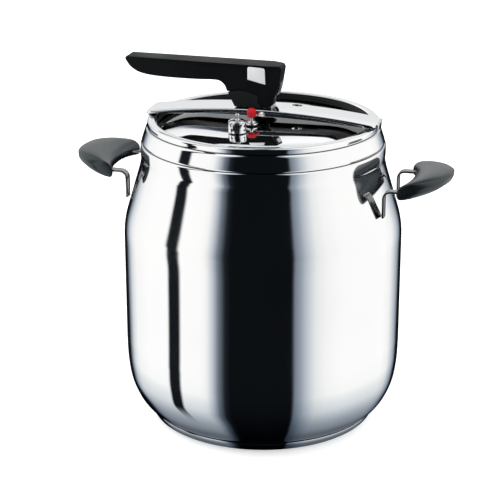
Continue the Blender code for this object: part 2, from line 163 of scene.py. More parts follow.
def mouldedPlastic(name, deep=(0.003, 0.0032, 0.0035), pale=(0.006, 0.0065, 0.007), low=0.2, high=0.3, gloss=0.5):
    material, nodes, links, shader, coords = newMaterial(name)
    cloud = noise(nodes, links, coords.outputs["Object"], 28, 4)
    grain = noise(nodes, links, coords.outputs["Object"], 1700, 3, 0.6)
    ripple = noise(nodes, links, coords.outputs["Object"], 120, 2, 0.4)
    links.new(blendColours(nodes, links, cloud, deep, pale), shader.inputs["Base Color"])
    links.new(spread(nodes, links, cloud, low, high), shader.inputs["Roughness"])
    total = nodes.new("ShaderNodeMath")
    total.operation = "MULTIPLY_ADD"
    total.inputs[1].default_value = 0.5
    links.new(grain, total.inputs[0])
    links.new(ripple, total.inputs[2])
    addBump(nodes, links, shader, total.outputs["Value"], 0.05, 0.0003)
    shader.inputs["Specular IOR Level"].default_value = gloss
    shader.inputs["Specular Tint"].default_value = (0.78, 0.92, 1.0, 1)
    return material


def siliconeRubber(name, deep, pale, low=0.42, high=0.6):
    material, nodes, links, shader, coords = newMaterial(name)
    cloud = noise(nodes, links, coords.outputs["Object"], 240, 4)
    grain = noise(nodes, links, coords.outputs["Object"], 2600, 3)
    links.new(blendColours(nodes, links, cloud, deep, pale), shader.inputs["Base Color"])
    links.new(spread(nodes, links, grain, low, high), shader.inputs["Roughness"])
    addBump(nodes, links, shader, grain, 0.12, 0.0002)
    shader.inputs["Specular IOR Level"].default_value = 0.2
    return material



def objectAxes(nodes, links):
    coords, parts = nodes.new("ShaderNodeTexCoord"), nodes.new("ShaderNodeSeparateXYZ")
    links.new(coords.outputs["Object"], parts.inputs["Vector"])
    return parts.outputs


def darkenWhere(material, mask, dark):
    # lays a dark colour over the material's own where the mask is 1
    nodes, links = material.node_tree.nodes, material.node_tree.links
    colour = nodes["Principled BSDF"].inputs["Base Color"]
    mix = nodes.new("ShaderNodeMix")
    mix.data_type = "RGBA"
    mix.inputs["B"].default_value = (*dark, 1)
    links.new(mask, mix.inputs["Factor"])
    links.new(colour.links[0].from_socket, mix.inputs["A"])
    links.new(mix.outputs["Result"], colour)


def paintedCreaseShade(material, height, width):
    # painted shade: a dark line round the piece at one height, standing in for the shade in a groove or crease
    nodes, links = material.node_tree.nodes, material.node_tree.links
    near = nodes.new("ShaderNodeMath")
    near.operation = "COMPARE"
    near.inputs[1].default_value = height * mm
    near.inputs[2].default_value = width * mm
    links.new(objectAxes(nodes, links)["Z"], near.inputs[0])
    darkenWhere(material, near.outputs["Value"], (0.12, 0.13, 0.14))


def shadeBelowBar(material, half, soft):
    # a painted shade: without it the lid mirrors the bright surround as a band under the bar
    nodes, links = material.node_tree.nodes, material.node_tree.links
    across, band = nodes.new("ShaderNodeMath"), nodes.new("ShaderNodeMapRange")
    across.operation = "ABSOLUTE"
    links.new(objectAxes(nodes, links)["Y"], across.inputs[0])
    band.interpolation_type = "SMOOTHSTEP"
    band.inputs["From Min"].default_value = (half - soft) * mm
    band.inputs["From Max"].default_value = (half + soft) * mm
    band.inputs["To Min"].default_value = 1.0
    band.inputs["To Max"].default_value = 0.0
    links.new(across.outputs["Value"], band.inputs["Value"])
    darkenWhere(material, band.outputs["Result"], (0.02, 0.022, 0.025))


potSteel = polishedSteel("mirrorPotSteel")
# painted shade lines in the two rim grooves and in the crease above the base cap
for height, width in ((288.9, 0.55), (304.9, 0.55), (12.6, 0.5)):
    paintedCreaseShade(potSteel, height, width)
lidSteel = polishedSteel("mirrorLidSteel", smooth=0.02, worn=0.05)
shadeBelowBar(lidSteel, 17.0, 1.5)
barSteel = polishedSteel("mirrorBarSteel", turnedMarks=False)
valveSteel = polishedSteel("turnedValveSteel", smooth=0.1, worn=0.18)
# painted reflection: the straps are polished steel, and their dark tone stands in for the dark surroundings they
# mirror
paintedDarkStrapSteel = plainSteel("paintedDarkStrapSteel", 0.3, 0.12, 0.22)
innerSteel = plainSteel("plainInnerSteel")
inlaySteel = plainSteel("satinInlaySteel", 0.9, 0.4, 0.55)
inlaySteel.node_tree.nodes["Principled BSDF"].inputs["Metallic"].default_value = 0.3
# near black steel for the springs and plunger, also used as painted shade in the channel under the bar
shadedChannelAndDarkSteel = plainSteel("paintedChannelShadeAndDarkSteel", 0.05, 0.35, 0.5)
coreMetal = plainSteel("castDiscAluminium", 0.75, 0.35, 0.5)
gripPlastic = mouldedPlastic("gripPlastic", low=0.22, high=0.32, gloss=0.8)
leverPlastic = mouldedPlastic("leverPlastic", low=0.36, high=0.48, gloss=0.07)
footPlastic = mouldedPlastic("footPlastic", (0.007, 0.0095, 0.009), (0.011, 0.0145, 0.0135), 0.42, 0.55, 0.1)
bushPlastic = mouldedPlastic("bushNylon", (0.01, 0.01, 0.0105), (0.018, 0.018, 0.019), 0.45, 0.6, 0.3)
sealRubber = siliconeRubber("sealRubber", (0.004, 0.004, 0.0045), (0.008, 0.008, 0.009))
flagRubber = siliconeRubber("redFlagRubber", (0.45, 0.006, 0.012), (0.62, 0.02, 0.03), 0.3, 0.45)
print("materials ready")

# ---- mesh helpers ----


def showPiece(name, mesh, material, body, nodes, smoothAngle=32):
    mesh.materials.append(material)
    mesh.shade_smooth()
    mesh.set_sharp_from_angle(angle=math.radians(smoothAngle))
    obj = bpy.data.objects.new(name, mesh)
    bpy.context.scene.collection.objects.link(obj)
    if body:
        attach(obj, body)
    if nodes:
        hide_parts(*nodes)
    return obj


def meshOf(name, bm):
    bmesh.ops.recalc_face_normals(bm, faces=bm.faces)
    mesh = bpy.data.meshes.new(name)
    bm.to_mesh(mesh)
    bm.free()
    return mesh


def rounded(points, closed=False, steps=4):
    # each point is (a, b, radius): its corner becomes a short curve that starts radius away
    out = []
    count = len(points)
    for i, point in enumerate(points):
        here, radius = Vector(point[:2]), point[2] if len(point) > 2 else 0.0
        if radius <= 0 or (not closed and i in (0, count - 1)):
            out.append(tuple(here))
            continue
        before, after = Vector(points[i - 1][:2]), Vector(points[(i + 1) % count][:2])
        back, on = before - here, after - here
        start = here + back.normalized() * min(radius, back.length * 0.49)
        end = here + on.normalized() * min(radius, on.length * 0.49)
        for k in range(steps + 1):
            t = k / steps
            out.append(tuple(start * (1 - t) ** 2 + here * 2 * t * (1 - t) + end * t ** 2))
    return out


def flowing(points, spans=6):
    # a smooth line through the points
    out = []
    for i in range(len(points) - 1):
        p0 = Vector(points[max(0, i - 1)])
        p1, p2 = Vector(points[i]), Vector(points[i + 1])
        p3 = Vector(points[min(len(points) - 1, i + 2)])
        for k in range(spans):
            t = k / spans
            out.append(tuple(0.5 * (2 * p1 + (p2 - p0) * t + (2 * p0 - 5 * p1 + 4 * p2 - p3) * t * t
                                    + (3 * p1 - p0 - 3 * p2 + p3) * t ** 3)))
    out.append(tuple(points[-1]))
    return out


def subdivide(points, longest):
    # extra points on long straight stretches
    out = [points[0]]
    for a, b in zip(points, points[1:]):
        pieces = max(1, math.ceil((Vector(b) - Vector(a)).length / longest))
        out += [tuple(Vector(a).lerp(Vector(b), k / pieces)) for k in range(1, pieces + 1)]
    return out


def turnedMesh(name, profile, steps, at=(0, 0), closed=False):
    # profile of (radius, height) in millimetres, turned about an upright axis
    bm = bmesh.new()
    rings = []
    for r, z in profile:
        if r < 1e-6:
            rings.append([bm.verts.new((at[0] * mm, at[1] * mm, z * mm))])
            continue
        ring = []
        for k in range(steps):
            a = 2 * math.pi * k / steps
            ring.append(bm.verts.new(((at[0] + r * math.cos(a)) * mm, (at[1] + r * math.sin(a)) * mm, z * mm)))
        rings.append(ring)
    pairs = list(zip(rings, rings[1:])) + ([(rings[-1], rings[0])] if closed else [])
    for first, second in pairs:
        for k in range(steps):
            j = (k + 1) % steps
            if len(first) == 1 and len(second) == 1:
                break
            if len(first) == 1:
                bm.faces.new((first[0], second[j], second[k]))
            elif len(second) == 1:
                bm.faces.new((first[k], first[j], second[0]))
            else:
                bm.faces.new((first[k], first[j], second[j], second[k]))
    return meshOf(name, bm)


def prismMesh(name, outline, low, high, axis="Y"):
    bm = bmesh.new()

    def place(a, b, depth):
        return (a * mm, depth * mm, b * mm) if axis == "Y" else (a * mm, b * mm, depth * mm)

    near = [bm.verts.new(place(a, b, low)) for a, b in outline]
    far = [bm.verts.new(place(a, b, high)) for a, b in outline]
    bm.faces.new(near)
    bm.faces.new(list(reversed(far)))
    for i in range(len(outline)):
        j = (i + 1) % len(outline)
        bm.faces.new((near[i], far[i], far[j], near[j]))
    return meshOf(name, bm)


def loftMesh(name, rings):
    bm = bmesh.new()
    made = [[bm.verts.new([c * mm for c in p]) for p in ring] for ring in rings]
    for first, second in zip(made, made[1:]):
        for i in range(len(first)):
            j = (i + 1) % len(first)
            bm.faces.new((first[i], second[i], second[j], first[j]))
    bm.faces.new(made[0])
    bm.faces.new(list(reversed(made[-1])))
    return meshOf(name, bm)


def circle(cx, cz, radius, first=0.0, last=360.0, count=48):
    steps = count if abs(last - first) >= 360 else count - 1
    angles = [math.radians(first + (last - first) * i / steps) for i in range(count)]
    return [(cx + radius * math.cos(a), cz + radius * math.sin(a)) for a in angles]


def shaped(mesh, cutters=(), roundEdge=0.0, segments=4, edgeAngle=50):
    # rounds the edges of a mesh, then cuts other meshes out of it, and gives the new mesh
    work = bpy.data.objects.new("work", mesh)
    bpy.context.scene.collection.objects.link(work)
    helpers = [work]
    if roundEdge:
        bevel = work.modifiers.new("edges", "BEVEL")
        bevel.width = roundEdge * mm
        bevel.segments = segments
        bevel.limit_method = "ANGLE"
        bevel.angle_limit = math.radians(edgeAngle)
    for cutter in cutters:
        helper = bpy.data.objects.new("cutter", cutter)
        bpy.context.scene.collection.objects.link(helper)
        helpers.append(helper)
        cut = work.modifiers.new("cut", "BOOLEAN")
        cut.operation = "DIFFERENCE"
        cut.solver = "EXACT"
        cut.object = helper
    bpy.context.view_layer.update()
    graph = bpy.context.evaluated_depsgraph_get()
    made = bpy.data.meshes.new_from_object(work.evaluated_get(graph))
    for helper in helpers:
        bpy.data.objects.remove(helper, do_unlink=True)
    return made


def springMesh(name, at, radius, wire, low, high, turns):
    bm = bmesh.new()
    around, steps = 12, int(turns * 40)
    rings = []
    for i in range(steps + 1):
        t = i / steps
        a = 2 * math.pi * turns * t
        z = low + wire + (high - low - 2 * wire) * t
        centre = Vector((at[0] + radius * math.cos(a), at[1] + radius * math.sin(a), z))
        out = Vector((math.cos(a), math.sin(a), 0))
        ring = []
        for k in range(around):
            b = 2 * math.pi * k / around
            ring.append(bm.verts.new((centre + out * wire * math.cos(b) + Vector((0, 0, wire * math.sin(b)))) * mm))
        rings.append(ring)
    for first, second in zip(rings, rings[1:]):
        for k in range(around):
            j = (k + 1) % around
            bm.faces.new((first[k], first[j], second[j], second[k]))
    bm.faces.new(rings[0])
    bm.faces.new(list(reversed(rings[-1])))
    return meshOf(name, bm)


# ---- pot ----

pot = {
    "steps": 288,
    "rim": [(105.2, 310.2, 0.5), (106.4, 311.0, 0.8), (112.2, 311.15, 1.3), (113.9, 309.6, 1.2), (113.3, 305.2, 0.9),
            (115.5, 303.0, 1.1), (119.6, 290.6, 0.8), (118.9, 289.0, 0.6), (120.7, 287.3, 1.2), (121.0, 279.0, 8.0),
            (120.0, 270.0, 12.0), (138.5, 207.5, 13.0), (137.9, 90.0, 5.0)],
    "bowl": [(137.9, 88.0), (137.0, 65.0), (133.9, 45.0), (127.9, 30.0), (121.6, 20.6), (116.4, 15.6), (110.7, 11.7),
             (106.8, 9.7)],
    "floor": [(106.4, 10.9), (115.6, 16.8), (126.6, 30.2), (132.6, 45.0), (135.7, 65.0), (136.6, 90.0)],
    "inside": [(136.6, 92.0, 4.0), (137.2, 207.0, 13.0), (118.8, 270.0, 12.0), (119.8, 279.0, 8.0),
               (119.5, 287.0, 1.0), (117.8, 289.0, 0.6), (118.4, 290.4, 0.8), (114.3, 302.6, 1.0),
               (112.2, 305.0, 0.8), (112.8, 308.4, 0.8), (111.2, 309.5, 0.5), (105.4, 309.5, 0.3)],
}
outer = rounded(pot["rim"], steps=6)
body = subdivide(outer, 6.0) + flowing(pot["bowl"], 6) + [(60.0, 9.3), (0.0, 9.2)]
inner = [(0.0, 10.4), (60.0, 10.4)] + flowing(pot["floor"], 6) + subdivide(rounded(pot["inside"], steps=5), 8.0)
showPiece("pot_shell_polished", turnedMesh("potShell", body + inner, pot["steps"], closed=True), potSteel,
          "pot", ["pot_shell"], 40)

base = {
    "outline": [(111.95, 12.25, 0.2), (113.0, 12.25, 0.4), (113.15, 9.4, 1.4), (111.0, 5.7, 2.4), (106.0, 2.4, 2.6),
                (100.0, 0.2, 2.0), (97.0, 0.0, 0.5), (94.0, 0.0, 1.0), (92.5, 0.55, 0.8), (0.0, 0.55, 0.0)],
    "inside": [(0.0, 1.2, 0.0), (97.8, 1.2, 1.2), (105.4, 3.6, 2.0), (110.2, 7.0, 2.0), (111.9, 9.8, 1.0)],
}
line = rounded(base["outline"], steps=5) + rounded(base["inside"], steps=4)
showPiece("base_cap_polished", turnedMesh("baseCap", line, 256, closed=True), potSteel, "pot", ["base_cap"],
          40)
print("pot ready")

# ---- side grips and their straps ----

grip = {
    "half": 43.8, "middle": 258.3, "inner": 151.0, "hollow": 9.0, "corner": 141.0, "bow": 48.9,
    "tilt": 0.24, "tiltFrom": 148.0, "thinner": 0.12, "roundFrom": 0.955, "endSize": 0.72,
    # across the grip, from the finger side over the crest to the outer ridge, and back underneath
    "section": [(0.0, -3.0, 2.0), (0.0, 3.0, 2.4), (0.10, 6.6, 3.0), (0.34, 8.8, 8.0), (0.64, 7.8, 6.0),
                (0.88, 4.4, 3.0), (1.0, 0.4, 0.5), (0.985, -4.0, 1.0), (0.80, -7.4, 3.0), (0.40, -8.6, 5.0),
                (0.08, -7.6, 2.5)],
}


def gripRing(along, sign):
    # a half moon seen from above: the finger side is hollow and the outer side bows out
    reach = abs(along)
    inner = grip["inner"] - grip["hollow"] * reach ** 2.4
    width = grip["corner"] + grip["bow"] * (1 - (0.95 * reach) ** 2.5) ** 0.476 - inner
    thin = 1.0 - grip["thinner"] * reach ** 5
    outline = rounded([(inner + width * u, h * thin, r * thin) for u, h, r in grip["section"]], True, 5)
    past = max(0.0, (reach - grip["roundFrom"]) / (1 - grip["roundFrom"]))
    size = grip["endSize"] + (1 - grip["endSize"]) * math.sqrt(max(0.0, 1 - past ** 2))
    middle = sum(x for x, _ in outline) / len(outline)
    ring = []
    for x, h in outline:
        x = middle + (x - middle) * size
        z = grip["middle"] + h * size + grip["tilt"] * (x - grip["tiltFrom"])
        ring.append((sign * x, along * grip["half"], z))
    return ring


strap = {"y": 36.0, "half": 4.5, "thick": 2.2, "hole": 153.0,
         "line": [(161.0, 257.0, 0), (129.4, 257.0, 8.0), (129.4, 230.5, 0)]}
places = [k / 40 for k in range(-38, 39)]
places = [-1.0, -0.997, -0.99, -0.98, -0.967] + places + [0.967, 0.98, 0.99, 0.997, 1.0]
for side, sign in (("right", 1), ("left", -1)):
    cutters = []
    for end, y in (("front", -strap["y"]), ("rear", strap["y"])):
        slotLine = [(sign * x, z) for x, z in ((120, 255.6), (161.4, 255.6), (161.4, 258.4), (120, 258.4))]
        cutters.append(prismMesh("slot", slotLine, y - 4.9, y + 4.9))
        cutters.append(prismMesh("sink", circle(sign * strap["hole"], y, 4.0, count=32), 240, 253.4, "Z"))
    mesh = loftMesh(side + "Grip", [gripRing(p, sign) for p in places])
    showPiece(side + "_grip_moulded", shaped(mesh, cutters), gripPlastic, "pot", [side + "_grip"],
              38)
    for end, y in (("front", -strap["y"]), ("rear", strap["y"])):
        path = [Vector(p) for p in subdivide(rounded(strap["line"], steps=12), 6.0)]
        upper, lower = [], []
        for i, point in enumerate(path):
            ahead = (path[min(len(path) - 1, i + 1)] - path[max(0, i - 1)]).normalized() * strap["thick"] / 2
            upper.append((sign * (point.x - ahead.y), point.y + ahead.x))
            lower.append((sign * (point.x + ahead.y), point.y - ahead.x))
        mesh = prismMesh("strap", upper + lower[::-1], y - strap["half"], y + strap["half"])
        showPiece(side + "_strap_" + end, shaped(mesh, roundEdge=0.5, segments=3), paintedDarkStrapSteel, "pot",
                  [side + "_bracket_" + end], 35)
        head = rounded([(0.0, 252.0), (1.1, 252.0, 0.1), (1.1, 251.3, 0.1), (2.9, 251.4, 0.4), (3.6, 252.2, 0.4),
                        (3.6, 253.0, 0.2), (1.8, 253.0, 0.1), (1.8, 263.2, 0.3), (1.4, 264.0, 0.2), (0.0, 264.0)],
                       steps=3)
        showPiece(side + "_screw_" + end, turnedMesh("screw", head, 40, (sign * strap["hole"], y)), innerSteel, "pot",
                  [side + "_grip_screw_" + end], 35)
print("grips ready")

# ---- bridge bar ----

bar = {"end": 115.4, "half": 18.4, "top": 323.4, "sag": 8.4, "rim": 113.6, "sheet": 2.0, "slot": (31.3, 12.2)}


def barHeight(x):
    return bar["top"] - bar["sag"] * (x / bar["rim"]) ** 2


def barRing(x):
    reach = abs(x) / bar["end"]
    corner = max(0.0, (reach - 0.97) / 0.03)
    half = bar["half"] - 3.0 * (1 - math.sqrt(max(0.0, 1 - corner ** 2)))
    top, deep, inside = barHeight(x), 6.4 - 3.6 * reach ** 2, half - 1.8
    outline = [(-half, top, 1.6), (half, top, 1.6), (half, top - deep, 0.5), (inside, top - deep, 0.5),
               (inside, top - bar["sheet"], 0.8), (-inside, top - bar["sheet"], 0.8), (-inside, top - deep, 0.5),
               (-half, top - deep, 0.5)]
    return [(x, y, z) for y, z in rounded(outline, True, 5)]


stations = [bar["end"] * k / 60 for k in range(-60, 61)]
slotLine = [(bar["slot"][0] + 1.45 * x, bar["slot"][1] + y) for x, y in circle(0, 0, 3.6)]
cutters = [prismMesh("slot", slotLine, 300, 340, "Z"), prismMesh("hole", circle(0, 0, 6.8), 300, 340, "Z")]
mesh = shaped(loftMesh("bridgeBar", [barRing(x) for x in stations]), cutters)
showPiece("bridge_bar_polished", mesh, barSteel, "bridge", ["bridge_bar"], 35)
mesh.materials.append(shadedChannelAndDarkSteel)
for face in mesh.polygons:  # painted shade: the channel below gets the near black steel, standing in for the shade under the bar
    x, y, z = face.center / mm
    if z < barHeight(x) - bar["sheet"] + 0.3 and abs(y) < bar["half"] - 1.2:
        face.material_index = 1
tipTop = barHeight(bar["end"])
lip = {"half": 9.0, "outline": [(-1.6, -0.2, 0), (0.3, -0.25, 0.6), (1.5, -1.2, 0.8), (1.0, -7.6, 0.6),
                               (-0.6, -7.6, 0.6), (-0.4, -1.9, 0.5), (-1.6, -1.7, 0)]}
for side, sign in (("right", 1), ("left", -1)):
    outline = [(sign * (bar["end"] + x), tipTop + z) for x, z in rounded(lip["outline"], True, 4)]
    mesh = shaped(prismMesh("lip", outline, -lip["half"], lip["half"]), roundEdge=0.4, segments=3)
    showPiece(side + "_bar_lip", mesh, barSteel, "bridge", [], 35)
print("bridge ready")

# ---- foot under the lever, and the lever ----

hub = {"x": -20.0, "z": 305.0, "radius": 35.0, "half": 12.6, "gap": 0.7, "pivot": (6.0, 332.0), "eye": 7.6}
seat = bar["top"] + 0.3


def dome(x, more=0.0):
    return hub["z"] + math.sqrt((hub["radius"] + more) ** 2 - (x - hub["x"]) ** 2)


footTop = [(x, dome(x), 0) for x in [-32.4 + 2.3 * k for k in range(15)]]
foot = rounded([(-25.6, seat + 0.1, 1.2), (-31.2, 334.6, 5.0)] + footTop + [(1.5, seat + 0.1, 0.3)], True, 5)
hollow = [(-22.6, seat - 5), (-28.2, 334.0), (-28.2, 345.0), (20.0, 345.0), (20.0, seat - 5)]
cutters = [prismMesh("hollow", hollow, -9.3, 9.3), prismMesh("eye", circle(*hub["pivot"], 8.3, count=96), -20, 20)]
mesh = shaped(prismMesh("foot", foot, -hub["half"], hub["half"]), cutters, 1.4, 5, 45)
showPiece("hub_foot_moulded", mesh, footPlastic, "bridge", ["hub_base"], 32)

lever = {
    "half": 12.9, "edge": 2.6,
    "blade": [(-137.6, 363.0), (-134.0, 357.8), (-129.0, 354.0), (-122.5, 351.2), (-112.0, 349.4), (-98.0, 348.6),
              (-80.0, 348.35), (-61.0, 348.6), (-48.0, 349.2), (-41.5, 348.6), (-37.4, 346.2), (-35.0, 342.8),
              (-33.9, 339.8)],
    "heel": [(13.6, 334.0), (14.8, 336.4), (16.5, 341.8), (18.2, 348.6), (19.5, 355.5), (20.4, 361.0)],
    "crown": [(20.5, 363.2, 1.4), (18.8, 365.4, 1.6), (12.0, 365.8, 4.0), (-60.0, 366.3, 0), (-137.0, 366.8, 0.8),
              (-138.6, 365.8, 0.8)],
}
under = [(x, dome(x, hub["gap"])) for x in [-32.6 + 2.4 * k for k in range(14)]]
eye = circle(*hub["pivot"], hub["eye"], 162, 345, 30)
outline = flowing(lever["blade"], 5) + under + eye + flowing(lever["heel"], 4)
outline += rounded([lever["heel"][-1]] + lever["crown"] + [lever["blade"][0]], steps=5)[1:-1]
mesh = prismMesh("lever", outline, -lever["half"], lever["half"])
for vertex in mesh.vertices:
    x = vertex.co.x / mm
    out = max(0.0, min(1.0, (-30 - x) / 108))
    back = max(0.0, min(1.0, (x - 8) / 12.5))
    vertex.co.y *= 1 - 0.16 * out - 0.30 * back
leverHollow = prismMesh("hollow", [(-27.0, 326.0), (-27.0, 343.5), (-10.0, 346.5), (-4.0, 350.2), (6.0, 350.6),
                                  (10.0, 350.0), (13.95, 338.0), (13.95, 320.0), (-20, 320)], -9.15, 9.15)
inlay = [(-12.6, 351.7, 0.8), (5.3, 347.6, 0.8), (4.6, 363.6, 2.4), (-12.6, 364.4, 2.4)]


def grownInlay(more):
    cx, cz = -3.8, 357.0
    grown = [(x + math.copysign(more, x - cx), z + math.copysign(more, z - cz), r) for x, z, r in inlay]
    return rounded(grown, True, 6)


cutters = [leverHollow, prismMesh("front", grownInlay(0.18), -20, -12.1),
           prismMesh("rear", grownInlay(0.18), 12.1, 20)]
mesh = shaped(mesh, cutters, lever["edge"], 6, 50)
showPiece("lever_moulded", mesh, leverPlastic, "lever", ["lever_handle"], 30)
for side, low in (("front", -13.1), ("rear", 12.3)):
    mesh = shaped(prismMesh("inlay", grownInlay(0.0), low, low + 0.8), roundEdge=0.3, segments=3)
    showPiece("lever_inlay_" + side, mesh, inlaySteel, "lever", ["lever_plate_" + side], 35)
print("lever ready")

# ---- lid ----

lid = {
    "steps": 256,
    "top": [(3.4, 309.7), (30.0, 309.65), (50.0, 309.45), (66.0, 309.0), (80.0, 307.7), (92.0, 305.3),
            (100.5, 303.2), (106.8, 302.75)],
    "under": [(106.9, 301.3), (100.4, 301.6), (91.8, 303.7), (79.8, 306.1), (66.0, 307.4), (50.0, 307.9),
              (30.0, 308.0), (3.4, 308.1)],
}
line = flowing(lid["top"], 8) + flowing(lid["under"], 4)
disc = showPiece("lid_disc_polished", turnedMesh("lidDisc", line, lid["steps"], closed=True), lidSteel, "",
                 ["lid_disc"], 40)
gasket = rounded([(103.6, 308.9, 0.8), (109.5, 308.9, 1.2), (110.3, 305.0, 1.5), (109.9, 299.9, 0.8),
                  (104.0, 299.9, 0.5), (104.0, 300.9, 0.2), (107.3, 300.9, 0.2), (107.3, 303.1, 0.2),
                  (103.6, 303.8, 0.6)], True, 4)
seal = showPiece("lid_gasket_moulded", turnedMesh("lidGasket", gasket, lid["steps"], closed=True), sealRubber, "",
                 ["lid_gasket"], 40)
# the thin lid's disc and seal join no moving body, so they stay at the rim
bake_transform(disc)
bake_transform(seal)
plate = rounded([(13.6, 310.0, 0.2), (13.2, 310.9, 0.5), (7.6, 312.2, 0.8), (3.2, 312.2, 0.2),
                 (3.2, 310.0, 0.1)], True, 4)
showPiece("stud_plate_turned", turnedMesh("studPlate", plate, 96, closed=True), lidSteel, "lid", ["stud_plate"],
          40)
spring = showPiece("stud_spring_wound", springMesh("studSpring", (0, 0), 6.0, 0.7, 312.5, 319.3, 3), shadedChannelAndDarkSteel,
                   "bridge", ["stud_spring"], 40)
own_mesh(spring)
print("lid ready")

# ---- operating valve ----

valve = {"at": (-11.2, -54.0), "steps": 96, "vents": 8, "ventRadius": 1.35, "ventHeights": (313.4, 317.2)}
body = rounded([(8.6, 319.8, 0.2), (8.75, 319.4, 0.2), (8.75, 310.3, 0.4), (8.3, 310.1, 0.2), (7.1, 310.1, 0.2),
                (7.1, 311.3, 0.2), (3.6, 311.3, 0.2), (3.6, 298.6, 0.3), (1.6, 298.6, 0.2), (1.6, 313.0, 0.2),
                (7.3, 313.0, 0.4), (7.3, 319.8, 0.2)], True, 4)
cutters = []
for height in valve["ventHeights"]:
    for k in range(valve["vents"]):
        a = 2 * math.pi * (k + 0.5) / valve["vents"]
        bm = bmesh.new()
        across, upright = Vector((-math.sin(a), math.cos(a), 0)), Vector((0, 0, 1))
        out = Vector((math.cos(a), math.sin(a), 0))
        centre = Vector((*valve["at"], height))
        rings = []
        for depth in (6.6, 10.0):
            rings.append([bm.verts.new((centre + out * depth + across * valve["ventRadius"] * math.cos(b)
                                        + upright * valve["ventRadius"] * math.sin(b)) * mm)
                          for b in [2 * math.pi * n / 20 for n in range(20)]])
        for n in range(20):
            bm.faces.new((rings[0][n], rings[0][(n + 1) % 20], rings[1][(n + 1) % 20], rings[1][n]))
        bm.faces.new(rings[0])
        bm.faces.new(list(reversed(rings[1])))
        cutters.append(meshOf("vent", bm))
mesh = shaped(turnedMesh("valveBody", body, valve["steps"], valve["at"], True), cutters)
showPiece("valve_body_turned", mesh, valveSteel, "lid", ["valve_body"], 32)
cap = rounded([(2.6, 323.4, 0.2), (3.0, 322.9, 0.3), (6.6, 322.1, 0.6), (8.5, 321.0, 0.4), (8.7, 320.6, 0.2),
               (8.7, 320.15, 0.2), (6.9, 320.15, 0.2), (6.9, 318.2, 0.2), (1.5, 318.2, 0.2), (1.5, 323.4, 0.2)],
              True, 4)
showPiece("valve_cap_turned", turnedMesh("valveCap", cap, valve["steps"], valve["at"], True), valveSteel, "lid",
          ["valve_cap"], 32)
pin = rounded([(0.0, 328.5), (1.3, 328.4, 0.5), (2.0, 327.7, 0.5), (2.0, 326.3, 0.3), (1.2, 325.6, 0.3),
               (1.2, 315.7, 0.1), (0.0, 315.7)], steps=4)
showPiece("valve_lift_pin_turned", turnedMesh("liftPin", pin, 48, valve["at"]), valveSteel, "valve_weight",
          ["valve_lift_pin"], 32)
weight = rounded([(0.0, 315.4), (5.8, 315.4, 0.4), (6.2, 315.0, 0.2), (6.2, 313.9, 0.2), (5.6, 313.4, 0.2),
                  (1.6, 313.3, 0.2), (1.2, 311.9, 0.3), (0.0, 311.3)], steps=3)
showPiece("valve_plunger_turned", turnedMesh("plunger", weight, 64, valve["at"]), shadedChannelAndDarkSteel, "valve_weight",
          ["valve_plunger"], 32)
spring = showPiece("valve_spring_wound", springMesh("valveSpring", valve["at"], 3.4, 0.3, 315.7, 317.9, 2),
                   shadedChannelAndDarkSteel, "lid", ["valve_spring"], 40)
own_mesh(spring)
ring = rounded([(6.5, 311.0, 0.4), (6.6, 310.5, 0.4), (6.5, 310.0, 0.4), (4.0, 310.0, 0.2),
                (4.0, 311.0, 0.2)], True, 3)
showPiece("valve_seal_moulded", turnedMesh("valveSeal", ring, 64, valve["at"], True), sealRubber, "lid",
          ["valve_seal"], 40)
print("valve ready")

# ---- pressure indicator ----

flag = {"at": (-5.0, -25.0), "steps": 72}
cap = rounded([(0.0, 326.5), (2.6, 326.45, 0.9), (4.2, 325.2, 0.9), (4.45, 322.4, 0.9), (4.2, 318.6, 0.5),
               (3.7, 317.7, 0.5), (1.7, 317.7, 0.2), (1.7, 321.7, 0.2), (0.0, 321.7)], steps=5)
showPiece("indicator_cap_moulded", turnedMesh("flagCap", cap, flag["steps"], flag["at"]), flagRubber, "indicator",
          ["indicator_cap"], 40)
stem = rounded([(0.0, 321.4), (1.5, 321.4, 0.3), (1.5, 296.0, 0.2), (3.0, 295.8, 0.4), (3.0, 293.8, 0.4),
                (0.0, 293.4)], steps=4)
showPiece("indicator_stem_turned", turnedMesh("flagStem", stem, 48, flag["at"]), valveSteel, "indicator",
          ["indicator_stem"], 35)
collar = rounded([(3.2, 314.4, 0.3), (3.8, 313.8, 0.4), (4.0, 312.9, 0.3), (6.3, 312.6, 0.5), (6.6, 311.8, 0.3),
                  (6.5, 311.15, 0.2), (3.2, 311.15, 0.2), (3.2, 300.1, 0.3), (1.7, 300.1, 0.2), (1.7, 314.4, 0.3)],
                 True, 4)
showPiece("indicator_collar_turned", turnedMesh("flagCollar", collar, flag["steps"], flag["at"], True), valveSteel,
          "lid", ["indicator_collar"], 35)
spring = showPiece("indicator_spring_wound", springMesh("flagSpring", flag["at"], 2.5, 0.3, 296.3, 299.7, 2),
                   shadedChannelAndDarkSteel, "lid", ["indicator_spring"], 40)
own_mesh(spring)
print("indicator ready")

# ---- inner parts shown as they are in the frame ----

innerLooks = {
    "base_core": coreMetal, "left_end_pad": sealRubber, "right_end_pad": sealRubber, "stud_bush": bushPlastic,
    "indicator_seal": sealRubber,
}
for name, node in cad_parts.items():
    if node.hide_render:
        continue
    node.data.materials.clear()
    node.data.materials.append(innerLooks.get(name, innerSteel))
    node.data.shade_smooth()
    node.data.set_sharp_from_angle(angle=math.radians(35))

# ---- stage: pale floor, white surround, and a light tent that only reflections see ----

